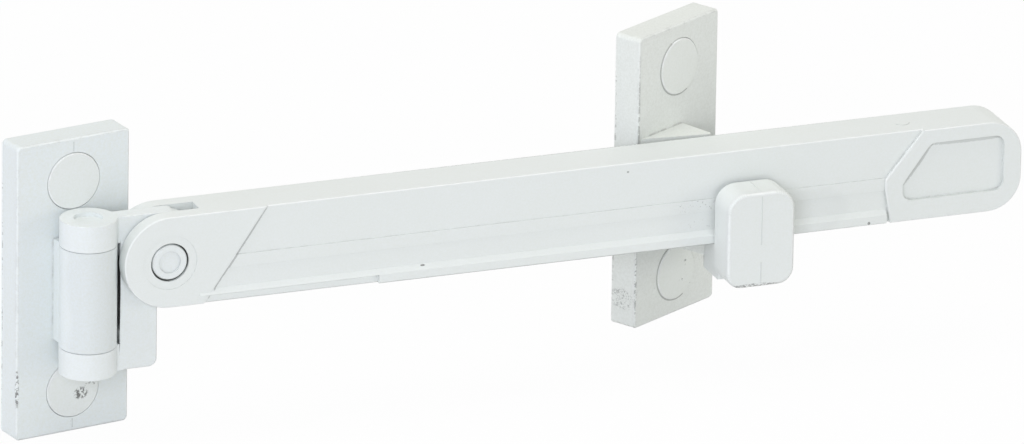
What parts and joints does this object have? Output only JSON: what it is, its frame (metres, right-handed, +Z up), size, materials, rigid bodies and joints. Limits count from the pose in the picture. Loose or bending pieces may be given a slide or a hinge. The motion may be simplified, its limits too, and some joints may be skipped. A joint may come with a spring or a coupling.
{
  "type": "window restrictor",
  "caption": "Moulded window restrictor: a hinged frame plate carries a lifting channel arm that slides in a swivelling hook on a sash plate and stops at the grip end.",
  "frame": {"origin": "middle of the frame plate's back face, which lies against the window frame", "axes": "+X to the right along the frame plate, +Y out of its back into the window frame, +Z up"},
  "size_m": [0.2524, 0.0617, 0.0831],
  "materials": {
    "white_plastic": "satin moulded",
    "pin_steel": "plain"
  },
  "bodies": {
    "frame_side": {"hinge_plate": "white_plastic", "hinge_cap_upper": "white_plastic", "hinge_cap_lower": "white_plastic"},
    "link": {"link": "white_plastic", "hinge_pin": "white_plastic", "pivot_pin": "white_plastic"},
    "arm": {"arm": "white_plastic"},
    "hook": {"swivel_head": "white_plastic", "swivel_pin": "pin_steel"},
    "sash_side": {"keeper_plate": "white_plastic", "keeper_cap_upper": "white_plastic", "keeper_cap_lower": "white_plastic"}
  },
  "joints": [
    {"name": "link_swing", "type": "hinge", "parent": "frame_side", "child": "link", "pos_m": [0, -0.01475, 0], "axis": [0, 0, 1], "range_deg": [-80, 9.7]},
    {"name": "arm_lift", "type": "hinge", "parent": "link", "child": "arm", "pos_m": [0.01833, -0.01788, 0.0081], "axis": [-0.1685, -0.9857, 0], "range_deg": [0, 60]},
    {"name": "hook_slide", "type": "slide", "parent": "link", "child": "hook", "axis": [0.9857, -0.1685, 0], "range_m": [-0.112, 0.0268]},
    {"name": "sash_swivel", "type": "hinge", "parent": "hook", "child": "sash_side", "pos_m": [0.16511, -0.04297, 0.0081], "axis": [0, 0, 1], "range_deg": [-29.5, 4.5]}
  ]
}
